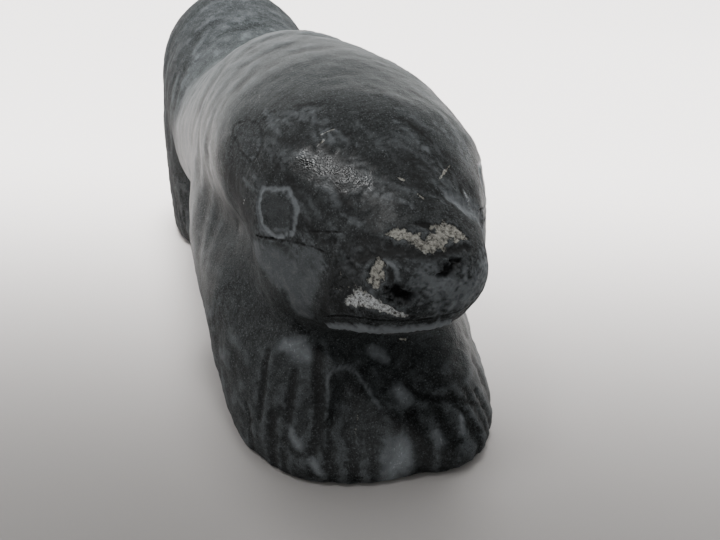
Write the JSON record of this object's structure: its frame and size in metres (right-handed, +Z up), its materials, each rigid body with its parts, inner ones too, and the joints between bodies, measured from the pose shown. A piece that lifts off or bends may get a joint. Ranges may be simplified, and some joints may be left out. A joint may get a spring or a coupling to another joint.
{
  "type": "soapstone bear carving",
  "caption": "Small hand-carved standing bear in dark soapstone, with a low broad head, a blunt muzzle, incised ring eyes, a swayed back and a gap under the belly.",
  "frame": {"origin": "on the table under the middle of the bounding box", "axes": "-Y towards the nose, +Y towards the tail, +X to the bear's left, +Z up"},
  "size_m": [0.0318, 0.0995, 0.0417],
  "materials": {
    "soapstone": "rubbed, waxy, dull"
  },
  "bodies": {
    "root": {"bear": "soapstone"}
  },
  "joints": []
}
